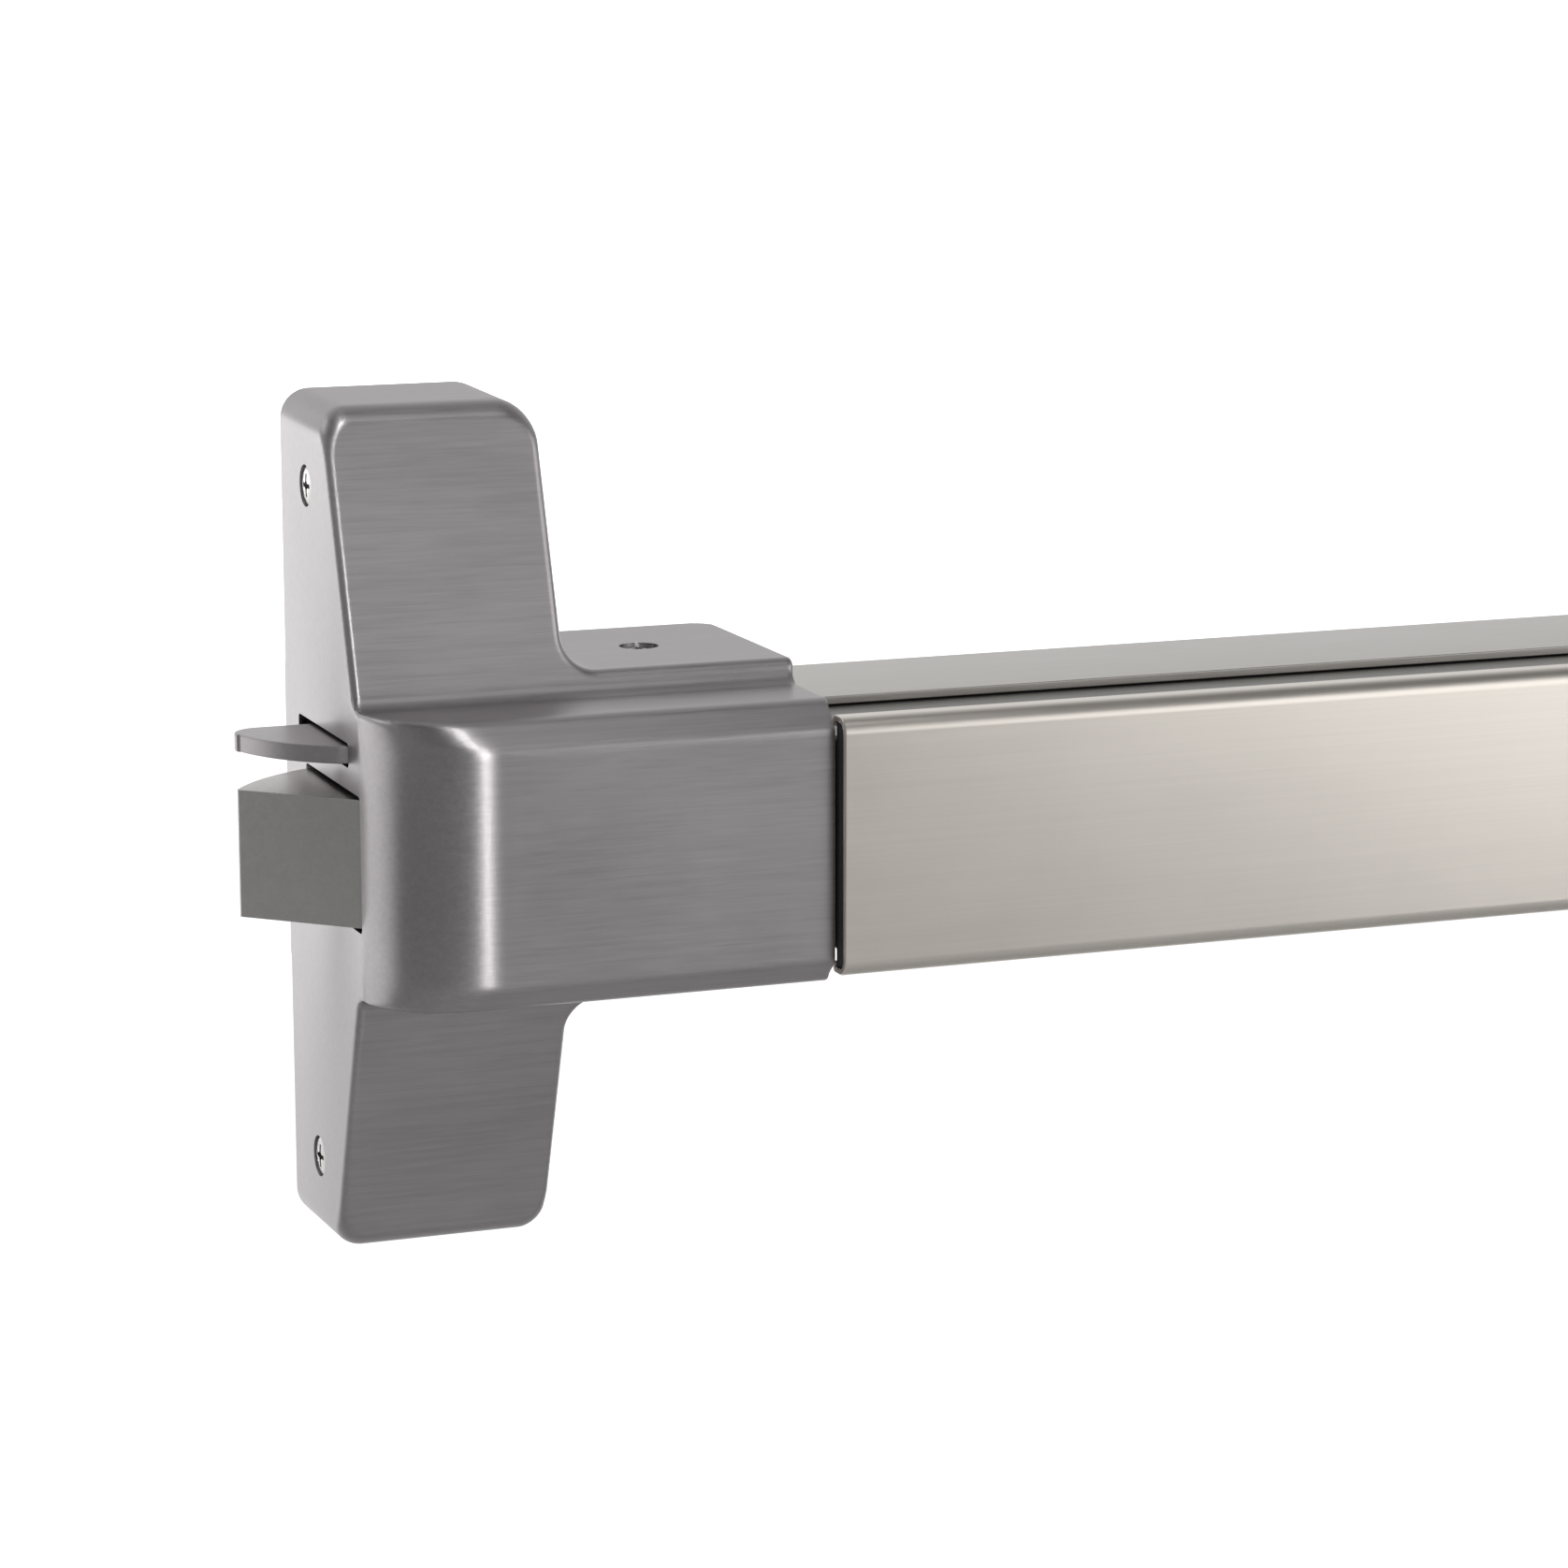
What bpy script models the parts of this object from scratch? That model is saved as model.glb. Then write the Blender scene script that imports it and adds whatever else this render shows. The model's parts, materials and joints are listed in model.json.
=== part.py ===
"""Panic exit bar: rim latch head, push bar on a base rail, filler cover and end cap.

+X runs along the bar away from the latch, -Y faces the user, +Z is up, and Y = 0 is the door face.
The outlines below are in millimetres; meshes are scaled to metres as they are made.
"""

import math

import bmesh
import bpy
from mathutils import Matrix, Vector

MM = 0.001
GAP = 0.3

# latch head cover
HEAD_LEFT, HEAD_RIGHT, BLOCK_RIGHT = -25.5, 25.5, 79.3
HEAD_HALF, BLOCK_HALF = 100.0, 38.6
FRONT_HALF, FACE_HALF, FRONT_Y = 33.2, 27.4, -88.2
CHAMFER_IN = 6.2
CORNER_RADIUS, BLOCK_BACK = 27.0, -45.0
WALL = 2.2
SIDE_SCREW_Y, SIDE_SCREW_Z, SIDE_SCREW_RADIUS = -22.0, 79.8, 4.7
TOP_SCREW_X, TOP_SCREW_Y, TOP_SCREW_RADIUS = 53.3, -28.0, 4.3
SCREW_ROOM, EAR_HOLE = 0.4, 2.1

# push bar stroke, which also draws the pull rod the same distance
TRAVEL = 14.5

# latch, deadlatch lever and their shared pin
PIVOT = (-6.5, -63.0)
PIN_RADIUS, HUB_RADIUS = 2.5, 4.2
LATCH_REACH, LATCH_LOW, LATCH_HIGH = 47.8, -16.6, 13.1
BEVEL_OFFSET, BEVEL_ANGLE = 11.4, 225.5
BEVEL_LENGTH, BEVEL_RELIEF = 28.0, 0.5
TAIL_SWING, TAIL_RADIUS = math.radians(18.2), 1.9
TAIL_ARM = TRAVEL / 2 / math.sin(TAIL_SWING)
LEVER_LOW, LEVER_HIGH, LEVER_HUB = 20.1, 24.2, 7.0

# chassis
PLATE = 3.0
FLANGE_LOW, FLANGE_HIGH = 25.8, 27.8
TONGUE_Y = -2.3

# base rail and its filler cover
RAIL_START, RAIL_END = 61.0, 780.0
RAIL_HALF, RAIL_DEPTH, RAIL_WALL = 26.8, 46.4, 2.0
NEAR_SCREW_X, FAR_SCREW_X, RAIL_SCREW_Z = 70.0, 765.0, 14.0
RAIL_SCREW_RADIUS, RAIL_HOLE = 3.6, 2.2

# push bar
BAR_START, BAR_END = 80.1, 580.1
BAR_HALF, BAR_FRONT, BAR_SKIN, BAR_LIP = 30.1, -93.2, 1.5, 8.0
CARRIER_HALF, CARRIER_BACK, CARRIER_WALL = 24.4, -35.0, 2.0
PLUG_THICK = 4.0

# bell cranks and pull rod
CRANK_X = (150.0, 510.0)
CRANK_Y, CRANK_SWING = -24.4, math.radians(20.0)
CRANK_ARM = TRAVEL / 2 / math.sin(CRANK_SWING)
CRANK_LOW, CRANK_HIGH = -15.5, -11.5
ROD_Y, ROD_WIDTH, ROD_LOW, ROD_HIGH = -46.0, 12.0, -20.2, -17.2
SPRING_Z = 8.0

# end cap
CAP_START, CAP_END, CAP_HALF, CAP_DEPTH = 772.0, 815.0, 29.8, 53.0
CAP_RADIUS = 18.0
CAP_SCREW_X, CAP_SCREW_Y, CAP_SCREW_RADIUS = 797.0, -22.0, 4.3

BRUSHED = dict(color=(0.50, 0.48, 0.48), roughness=0.34, metallic=1.0)
STAINLESS = dict(color=(0.62, 0.59, 0.55), roughness=0.28, metallic=1.0)
ZINC = dict(color=(0.55, 0.56, 0.57), roughness=0.40, metallic=1.0)
STEEL = dict(color=(0.42, 0.41, 0.40), roughness=0.32, metallic=1.0)
SPRING_STEEL = dict(color=(0.30, 0.30, 0.32), roughness=0.35, metallic=1.0)
ALUMINIUM = dict(color=(0.66, 0.66, 0.67), roughness=0.42, metallic=1.0)
RUBBER = dict(color=(0.03, 0.03, 0.03), roughness=0.85, metallic=0.0)


def clear_scene():
    for obj in list(bpy.data.objects):
        bpy.data.objects.remove(obj, do_unlink=True)


def material(name, color, roughness, metallic):
    made = bpy.data.materials.new(name)
    made.use_nodes = True
    shader = made.node_tree.nodes["Principled BSDF"]
    shader.inputs["Base Color"].default_value = (*color, 1.0)
    shader.inputs["Roughness"].default_value = roughness
    shader.inputs["Metallic"].default_value = metallic
    return made


def new_object(name, bm):
    """A bmesh in millimetres made into an object in metres, its faces turned outward."""
    bmesh.ops.recalc_face_normals(bm, faces=bm.faces)
    bm.transform(Matrix.Scale(MM, 4))
    mesh = bpy.data.meshes.new(name)
    bm.to_mesh(mesh)
    bm.free()
    obj = bpy.data.objects.new(name, mesh)
    bpy.context.scene.collection.objects.link(obj)
    return obj


def place_point(axis, u, v, w):
    """A point of an outline: (Y, Z), (X, Z) or (X, Y) for an outline swept along X, Y or Z."""
    return {"X": (w, u, v), "Y": (u, w, v), "Z": (u, v, w)}[axis]


def circle(x, y, radius, steps=20, start=0.0, sweep=2 * math.pi, closed=True):
    count = steps if closed else steps + 1
    turns = [start + sweep * i / steps for i in range(count)]
    return [(x + radius * math.cos(a), y + radius * math.sin(a)) for a in turns]


def arc(x, y, radius, first, last, steps):
    """Points of an arc between two angles in degrees, both ends included."""
    first, last = math.radians(first), math.radians(last)
    return circle(x, y, radius, steps, first, last - first, closed=False)


def box_outline(u0, u1, v0, v1):
    return [(u0, v0), (u1, v0), (u1, v1), (u0, v1)]


def slot_outline(x, y, half_length, radius, upright=False, steps=8):
    """A slot with round ends, along the first or the second outline axis."""
    dx, dy, turn = (0.0, half_length, 0) if upright else (half_length, 0.0, -90)
    first = arc(x + dx, y + dy, radius, turn, turn + 180, steps)
    return first + arc(x - dx, y - dy, radius, turn + 180, turn + 360, steps)


def inset(points, distance):
    """A counter-clockwise outline moved inward by one distance, corners mitred."""
    moved = []
    for i, point in enumerate(points):
        here = Vector(point)
        before = (here - Vector(points[i - 1])).normalized()
        after = (Vector(points[(i + 1) % len(points)]) - here).normalized()
        normal_in, normal_out = Vector((-before.y, before.x)), Vector((-after.y, after.x))
        mitre = normal_in + normal_out
        moved.append(tuple(here + mitre * (2 * distance / mitre.length_squared)))
    return moved


def rounded(points, radii, steps=5):
    """An outline with each corner replaced by an arc of its own radius, zero leaving it sharp."""
    result = []
    for i, (point, radius) in enumerate(zip(points, radii)):
        if radius <= 0:
            result.append(tuple(point))
            continue
        here = Vector(point)
        to_before = (Vector(points[i - 1]) - here).normalized()
        to_after = (Vector(points[(i + 1) % len(points)]) - here).normalized()
        half = to_before.angle(to_after) / 2
        start = here + to_before * (radius / math.tan(half))
        end = here + to_after * (radius / math.tan(half))
        centre = here + (to_before + to_after).normalized() * (radius / math.sin(half))
        for k in range(steps + 1):
            blend = start.lerp(end, k / steps) - centre
            result.append(tuple(centre + blend.normalized() * radius))
    return result


def hull(points):
    """The convex outline around points, counter-clockwise."""
    ordered = sorted(set(points))

    def chain(items):
        line = []
        for p in items:
            while len(line) > 1 and (
                (line[-1][0] - line[-2][0]) * (p[1] - line[-2][1])
                <= (line[-1][1] - line[-2][1]) * (p[0] - line[-2][0])
            ):
                line.pop()
            line.append(p)
        return line[:-1]

    return chain(ordered) + chain(reversed(ordered))


def prism(name, outline, axis, low, high, holes=()):
    """A flat outline with holes, swept straight along one axis."""
    bm = bmesh.new()
    edges = []
    for loop in (outline, *holes):
        verts = [bm.verts.new(place_point(axis, u, v, low)) for u, v in loop]
        edges += [bm.edges.new((verts[i - 1], verts[i])) for i in range(len(verts))]
    if holes:
        bmesh.ops.triangle_fill(bm, use_beauty=True, use_dissolve=False, edges=edges)
    else:
        bmesh.ops.contextual_create(bm, geom=edges)
    swept = bmesh.ops.extrude_face_region(bm, geom=list(bm.faces))
    moved = [g for g in swept["geom"] if isinstance(g, bmesh.types.BMVert)]
    bmesh.ops.translate(bm, verts=moved, vec=Vector(place_point(axis, 0, 0, high - low)))
    return new_object(name, bm)


def box(name, x0, x1, y0, y1, z0, z1):
    return prism(name, box_outline(x0, x1, y0, y1), "Z", z0, z1)


def rod(name, axis, u, v, radius, low, high, steps=20):
    return prism(name, circle(u, v, radius, steps), axis, low, high)


def loft(name, levels):
    """Outlines of equal length stacked along Z, joined by side faces and closed at both ends."""
    bm = bmesh.new()
    rings = [[bm.verts.new((x, y, z)) for x, y in outline] for z, outline in levels]
    for low, high in zip(rings, rings[1:]):
        for i in range(len(low)):
            bm.faces.new((low[i - 1], low[i], high[i], high[i - 1]))
    bm.faces.new(rings[0][::-1])
    bm.faces.new(rings[-1])
    return new_object(name, bm)


def turned(name, profile, axis, u, v, steps=20):
    """A shape turned about a line along the axis, from (radius, position) pairs, ends closed."""
    bm = bmesh.new()
    rings = []
    for radius, w in profile:
        rings.append([bm.verts.new(place_point(axis, x, y, w)) for x, y in circle(u, v, radius, steps)])
    for low, high in zip(rings, rings[1:]):
        for i in range(steps):
            bm.faces.new((low[i - 1], low[i], high[i], high[i - 1]))
    bm.faces.new(rings[0])
    bm.faces.new(rings[-1])
    return new_object(name, bm)


def coil(name, axis, u, v, radius, wire, low, high, turns, tail=0.0, per_turn=14, sides=6):
    """A round-wire helix between two positions along the axis, with an optional straight tail."""
    along, ends = [], turns * per_turn
    for i in range(ends + 1):
        angle = 2 * math.pi * i / per_turn
        height = low + wire + (high - low - 2 * wire) * i / ends
        across = (u + radius * math.cos(angle), v + radius * math.sin(angle))
        along.append(Vector(place_point(axis, *across, height)))
    if tail:
        along.append(along[-1] + (along[-1] - along[-2]).normalized() * tail)
    axis_vector = Vector(place_point(axis, 0, 0, 1))
    bm = bmesh.new()
    rings = []
    for i, centre in enumerate(along):
        tangent = (along[min(i + 1, len(along) - 1)] - along[max(i - 1, 0)]).normalized()
        side = tangent.cross(axis_vector).normalized()
        top = side.cross(tangent)
        ring = [math.tau * k / sides for k in range(sides)]
        rings.append([bm.verts.new(centre + wire * (side * math.cos(a) + top * math.sin(a))) for a in ring])
    for low_ring, high_ring in zip(rings, rings[1:]):
        for i in range(sides):
            bm.faces.new((low_ring[i - 1], low_ring[i], high_ring[i], high_ring[i - 1]))
    bm.faces.new(rings[0])
    bm.faces.new(rings[-1])
    return new_object(name, bm)


def combine(target, other, operation):
    """The Boolean of two objects kept on the first; the second is removed."""
    modifier = target.modifiers.new(operation, "BOOLEAN")
    modifier.operation = operation
    modifier.solver = "EXACT"
    modifier.object = other
    bpy.context.view_layer.update()
    evaluated = target.evaluated_get(bpy.context.evaluated_depsgraph_get())
    result = bpy.data.meshes.new_from_object(evaluated)
    result.name = target.name
    target.modifiers.clear()
    target.data = result
    bpy.data.objects.remove(other, do_unlink=True)


def union(target, *others):
    for other in others:
        combine(target, other, "UNION")


def cut(target, *others):
    for other in others:
        combine(target, other, "DIFFERENCE")


def finish(obj, look, origin=None):
    """Gives a sub-part its own material and, for a moving one, its origin on the joint axis."""
    obj.data.materials.clear()
    obj.data.materials.append(material(obj.name + "_material", **look))
    if origin is not None:
        point = Vector(origin) * MM
        obj.data.transform(Matrix.Translation(-point))
        obj.location = point
    return obj


# ---------------------------------------------------------------- latch head

def back_profile(offset):
    """Side view of the arms and shoulder: sloped arm faces with eased ends, (Y, Z) pairs."""
    end = [(6.0, 100.2), (-29.0, 99.4), (-35.0, 97.9), (-38.6, 93.4)]
    upper = end + [(-56.5, 41.3), (-58.6, 38.0), (-59.2, 34.0)]
    lower = [(y, -z) for y, z in reversed(upper)]
    return inset(upper + lower, offset)


def cross_outline(offset, right=BLOCK_RIGHT):
    """Front view of the arms and shoulder, (X, Z) pairs, corners rounded."""
    corners = [
        (HEAD_LEFT, -HEAD_HALF), (HEAD_RIGHT, -HEAD_HALF), (HEAD_RIGHT, -BLOCK_HALF), (right, -BLOCK_HALF),
        (right, BLOCK_HALF), (HEAD_RIGHT, BLOCK_HALF), (HEAD_RIGHT, HEAD_HALF), (HEAD_LEFT, HEAD_HALF),
    ]
    radii = [7.0, 10.0, -8.0, 3.0, 3.0, -8.0, 12.0, 7.0]
    return rounded(inset(corners, offset), [r - offset if r > 0 else offset - r for r in radii])


def front_outline(offset, depth, right):
    """Plan of the front block at one level, (X, Y) pairs: the left side stays, the front moves back."""
    left, front, back = HEAD_LEFT + offset, FRONT_Y + depth, BLOCK_BACK
    corners = [(left, front), (right, front), (right, back), (left, back)]
    return rounded(corners, [CORNER_RADIUS - depth, 0, 0, 0], steps=10)


def head_solid(name, offset, right, back):
    """The solid head, or the hollow within it when its outlines are moved inward."""
    body = prism(name, back_profile(offset), "X", HEAD_LEFT - 2, right)
    sides = prism("sides", cross_outline(offset), "Y", -70.0, back)
    combine(body, sides, "INTERSECT")
    slope = (FRONT_HALF - FACE_HALF) / CHAMFER_IN
    edge = FACE_HALF + offset * (slope - math.hypot(1, slope))
    top = FRONT_HALF - offset
    top_in = CHAMFER_IN + offset * (math.hypot(1, slope) - 1) / slope
    levels = [(top, top_in), (edge, offset), (-edge, offset), (-top, top_in)]
    union(body, loft("front", [(z, front_outline(offset, depth, right)) for z, depth in reversed(levels)]))
    return body


def head_cover():
    """Open-backed cover with slots for the latch and lever, a rail opening and screw holes."""
    cover = head_solid("head_cover", 0.0, BLOCK_RIGHT, 0.0)
    cut(cover, head_solid("hollow", WALL, BLOCK_RIGHT - WALL, 5.0))
    cut(
        cover,
        box("latch_slot", HEAD_LEFT - 2, HEAD_LEFT + 5, -63.1, -17.6, LATCH_LOW - 0.9, LATCH_HIGH + 1.1),
        box("lever_slot", HEAD_LEFT - 2, HEAD_LEFT + 5, -54.6, -11.8, LEVER_LOW - 0.8, LEVER_HIGH + 0.8),
        prism("rail_opening", rail_opening(), "X", BLOCK_RIGHT - 4, BLOCK_RIGHT + 2),
    )
    side_radius, top_radius = SIDE_SCREW_RADIUS + SCREW_ROOM, TOP_SCREW_RADIUS + SCREW_ROOM
    for side in (-1, 1):
        z = side * SIDE_SCREW_Z
        cut(cover, rod("side_hole", "X", SIDE_SCREW_Y, z, side_radius, HEAD_LEFT - 1, HEAD_LEFT + 3))
        z_low, z_high = sorted((side * (BLOCK_HALF - 3), side * (BLOCK_HALF + 1)))
        cut(cover, rod("top_hole", "Z", TOP_SCREW_X, TOP_SCREW_Y, top_radius, z_low, z_high))
    return finish(cover, BRUSHED)


def rail_opening():
    """Opening in the end wall of the head: the rail behind, the pull rod in front of it."""
    wide, rod_half = RAIL_HALF + 0.4, 22.0
    return [
        (2.0, -wide), (-RAIL_DEPTH - 0.4, -wide), (-RAIL_DEPTH - 0.4, -rod_half), (-55.0, -rod_half),
        (-55.0, rod_half), (-RAIL_DEPTH - 0.4, rod_half), (-RAIL_DEPTH - 0.4, wide), (2.0, wide),
    ]


def chassis_flange():
    """Plan of the two shelves that hold the latch pin, (X, Y) pairs."""
    bend = arc(HEAD_LEFT + CORNER_RADIUS, FRONT_Y + CORNER_RADIUS, CORNER_RADIUS - WALL - 2.0, 180, 230, 6)
    return [(bend[0][0], -2.0)] + bend + [(6.0, -77.0), (30.0, -66.0), (56.0, -60.0), (56.0, -2.0)]


def head_chassis():
    """Steel plate against the door with latch shelves, screw tabs and a tongue for the rail."""
    outline = cross_outline(WALL + 2 * GAP, RAIL_START - 0.7)
    spots = [(0.0, 90.0), (0.0, 62.0), (0.0, -62.0), (0.0, -90.0), (30.0, 16.0), (30.0, -16.0)]
    door_holes = [circle(x, z, 2.8, 14) for x, z in spots]
    chassis = prism("head_chassis", outline, "Y", -PLATE, 0.0, door_holes)
    union(chassis, box("tongue", 40.0, 78.0, TONGUE_Y - PLATE, TONGUE_Y, -22.0, 22.0))
    for side in (-1, 1):
        low, high = sorted((side * FLANGE_LOW, side * FLANGE_HIGH))
        union(chassis, prism("shelf", chassis_flange(), "Z", low, high))
        tab_low, tab_high = sorted((side * 27.0, side * (BLOCK_HALF - 3.0)))
        union(chassis, box("tab", 46.0, 60.4, -34.0, -1.5, tab_low, tab_high))
        ear_low, ear_high = sorted((side * (SIDE_SCREW_Z - 6), side * (SIDE_SCREW_Z + 6)))
        union(chassis, box("ear", -22.6, -15.0, SIDE_SCREW_Y - 7.5, -1.5, ear_low, ear_high))
        hole_low, hole_high = min(low, tab_low) - 1, max(high, tab_high) + 1
        cut(chassis, rod("tab_hole", "Z", TOP_SCREW_X, TOP_SCREW_Y, 2.1, hole_low, hole_high, 12))
        cut(chassis, rod("ear_hole", "X", SIDE_SCREW_Y, side * SIDE_SCREW_Z, EAR_HOLE, -24.0, -14.0, 12))
        cut(chassis, rod("rail_hole", "Y", NEAR_SCREW_X, side * RAIL_SCREW_Z, RAIL_HOLE, -7.0, -1.0, 12))
    cut(chassis, rod("pin_hole", "Z", *PIVOT, PIN_RADIUS + 0.1, -30.0, 30.0))
    return finish(chassis, ZINC)


def screw(name, axis, u, v, head, tip, head_radius, look=STEEL):
    """Cross-recess screw: domed head at one position along the axis, shank ending at the other."""
    way = 1.0 if tip > head else -1.0
    profile = [
        (head_radius * 0.62, head), (head_radius, head + 0.9 * way), (head_radius, head + 2.0 * way),
        (1.8, head + 2.0 * way), (1.8, tip - 1.0 * way), (1.0, tip),
    ]
    made = turned(name, profile, axis, u, v, 12)
    arm, width, low, high = head_radius * 0.55, 0.45, *sorted((head - way, head + 1.2 * way))
    cross = [
        (width, width), (arm, width), (arm, -width), (width, -width), (width, -arm), (-width, -arm),
        (-width, -width), (-arm, -width), (-arm, width), (-width, width), (-width, arm), (width, arm),
    ]
    cut(made, prism("recess", [(u + a, v + b) for a, b in cross], axis, low, high))
    return finish(made, look)


def rail_screw(name, x, z):
    """Screw from a tongue back into the rail's web."""
    screw(name, "Y", x, z, TONGUE_Y - PLATE - 2.3, -0.4, RAIL_SCREW_RADIUS, ZINC)


def cover_screws():
    for side, label in ((1, "upper"), (-1, "lower")):
        z = side * SIDE_SCREW_Z
        screw("cover_screw_side_" + label, "X", SIDE_SCREW_Y, z, HEAD_LEFT + 0.5, -15.0, SIDE_SCREW_RADIUS)
        place = "top" if side > 0 else "bottom"
        head, tip = side * (BLOCK_HALF - 0.6), side * 28.5
        screw("cover_screw_" + place, "Z", TOP_SCREW_X, TOP_SCREW_Y, head, tip, TOP_SCREW_RADIUS)
        rail_screw("rail_screw_" + label, NEAR_SCREW_X, side * RAIL_SCREW_Z)


def tail_peg():
    """Where the peg under the latch stands at rest."""
    return PIVOT[0] - TAIL_ARM * math.sin(TAIL_SWING), PIVOT[1] + TAIL_ARM * math.cos(TAIL_SWING)


def latch_outline():
    """Plan of the latch: eased nose, curved back about the pin, hub end, bevel relieved within the head."""
    tip_angle = BEVEL_ANGLE - math.degrees(math.acos(BEVEL_OFFSET / LATCH_REACH))
    back = arc(*PIVOT, LATCH_REACH, tip_angle, 104.0, 12)
    hub = arc(*PIVOT, BEVEL_OFFSET - BEVEL_RELIEF, 14.0, BEVEL_ANGLE - 360.0, 8)
    bevel = math.radians(BEVEL_ANGLE)
    bevel_end = Vector(back[0]) + BEVEL_LENGTH * Vector((-math.sin(bevel), math.cos(bevel)))
    outline = back + hub + [tuple(bevel_end)]
    return rounded(outline, [1.0] + [0.0] * (len(outline) - 1), steps=3)


def latch_bolt():
    """Swinging latch: flat bevel in front, curved back about the pin, hub and drive peg."""
    bolt = prism("latch_bolt", latch_outline(), "Z", LATCH_LOW, LATCH_HIGH)
    union(bolt, rod("hub", "Z", *PIVOT, HUB_RADIUS, -FLANGE_LOW + GAP, LEVER_LOW - 0.4))
    union(bolt, rod("peg", "Z", *tail_peg(), TAIL_RADIUS, ROD_LOW - 1.8, LATCH_LOW + 2, 12))
    cut(bolt, rod("bore", "Z", *PIVOT, PIN_RADIUS + GAP, -30.0, 30.0))
    return finish(bolt, STAINLESS, (*PIVOT, 0.0))


def latch_pin():
    return finish(rod("latch_pin", "Z", *PIVOT, PIN_RADIUS - 0.1, -28.1, 28.1), STEEL)


def lever_outline():
    """Plan of the trigger: straight back edge, rounded nose, curved front edge, hub end."""
    nose = arc(-38.6, -28.8, 6.6, 90, 190, 5)
    front = arc(-6.4, -18.7, 39.8, 197, 239, 6) + [(-22.6, -54.0)]
    back = [(-1.0, -45.0), (-8.0, -25.2), (-12.0, -22.2)]
    return nose + front + arc(*PIVOT, LEVER_HUB, 190, 350, 8) + back


def deadlatch_lever():
    """Flat trigger above the latch, turning on the same pin."""
    hole = circle(*PIVOT, PIN_RADIUS + GAP, 16)
    lever = prism("deadlatch_lever", lever_outline(), "Z", LEVER_LOW, LEVER_HIGH, [hole])
    return finish(lever, BRUSHED, (*PIVOT, 0.0))


def latch_springs():
    """Torsion coils about the pin, above and below the latch."""
    for name, low in (("deadlatch_spring", LEVER_LOW - 5.5), ("latch_spring", -FLANGE_LOW + 0.5)):
        made = coil(name, "Z", *PIVOT, radius=5.2, wire=0.5, low=low, high=low + 5.1, turns=4, tail=6.0)
        finish(made, SPRING_STEEL)


# ---------------------------------------------------------------- rail and push bar

def channel(half, web, mouth, wall):
    """A U section from the outside of its web to its open mouth, (Y, Z) pairs."""
    floor = web + math.copysign(wall, mouth - web)
    lower = [(web, -half), (mouth, -half), (mouth, -half + wall), (floor, -half + wall)]
    return lower + [(y, -z) for y, z in reversed(lower)]


def base_rail():
    rail = prism("base_rail", channel(RAIL_HALF, 0.0, -RAIL_DEPTH, RAIL_WALL), "X", RAIL_START, RAIL_END)
    for side in (-1, 1):
        for x in (NEAR_SCREW_X, FAR_SCREW_X):
            cut(rail, rod("hole", "Y", x, side * RAIL_SCREW_Z, RAIL_HOLE, -4.0, 1.0, 12))
    return finish(rail, STAINLESS)


def bar_section():
    """Rolled front skin of the push bar with rounded edges and inturned lips, (Y, Z) pairs."""
    half, front, skin = BAR_HALF, BAR_FRONT, BAR_SKIN
    back = front + BAR_LIP
    corners = [(front, -half), (back, -half), (back, -half + 2.6), (back - skin, -half + 2.6),
               (back - skin, -half + skin), (front + skin, -half + skin)]
    mirrored = [(y, -z) for y, z in reversed(corners)]
    radii = [3.8, 0, 0, 0, 0, 2.3]
    return rounded(corners + mirrored, radii + radii[::-1], steps=4)


def push_bar():
    bar = prism("push_bar", bar_section(), "X", BAR_START, BAR_END)
    return finish(bar, STAINLESS, (BAR_START, BAR_FRONT, 0.0))


def push_bar_carrier():
    """Extruded channel behind the skin, its flanges running inside the rail."""
    front = BAR_FRONT + BAR_SKIN + GAP
    section = channel(CARRIER_HALF, front, CARRIER_BACK, CARRIER_WALL)
    carrier = prism("push_bar_carrier", section, "X", BAR_START, BAR_END)
    return finish(carrier, ALUMINIUM, (BAR_START, front, 0.0))


def push_bar_ends():
    """Plugs inside both ends of the carrier."""
    inner = BAR_FRONT + BAR_SKIN + CARRIER_WALL + 2 * GAP
    half = CARRIER_HALF - CARRIER_WALL - 0.4
    for label, x in (("left", BAR_START + 0.5), ("right", BAR_END - 0.5 - PLUG_THICK)):
        plug = box("push_bar_end_" + label, x, x + PLUG_THICK, inner, inner + 12.0, -half, half)
        finish(plug, RUBBER, (x + PLUG_THICK / 2, inner, 0.0))


def crank_points(x):
    """Where a crank's two pegs stand at rest: the one the bar drives and the one that pulls the rod."""
    swing, arm = CRANK_SWING, CRANK_ARM
    bar_peg = (x + arm * math.cos(swing), CRANK_Y - arm * math.sin(swing))
    rod_peg = (x - arm * math.sin(swing), CRANK_Y - arm * math.cos(swing))
    return bar_peg, rod_peg


def bell_crank(label, x):
    """Plate crank turning the push of the bar into a pull on the rod."""
    bar_peg, rod_peg = crank_points(x)
    around = circle(x, CRANK_Y, 6.5, 20) + circle(*bar_peg, 4.4, 16) + circle(*rod_peg, 4.4, 16)
    crank = prism("bell_crank_" + label, hull(around), "Z", CRANK_LOW, CRANK_HIGH)
    union(
        crank,
        rod("hub", "Z", x, CRANK_Y, 5.0, -19.4, -8.8),
        rod("bar_peg", "Z", *bar_peg, 1.9, CRANK_HIGH - 1, -5.5, 12),
        rod("rod_peg", "Z", *rod_peg, 1.9, ROD_LOW - 1.0, CRANK_LOW + 1, 12),
    )
    cut(crank, rod("bore", "Z", x, CRANK_Y, 2.8, -30.0, 0.0))
    return finish(crank, ZINC, (x, CRANK_Y, 0.0))


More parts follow.
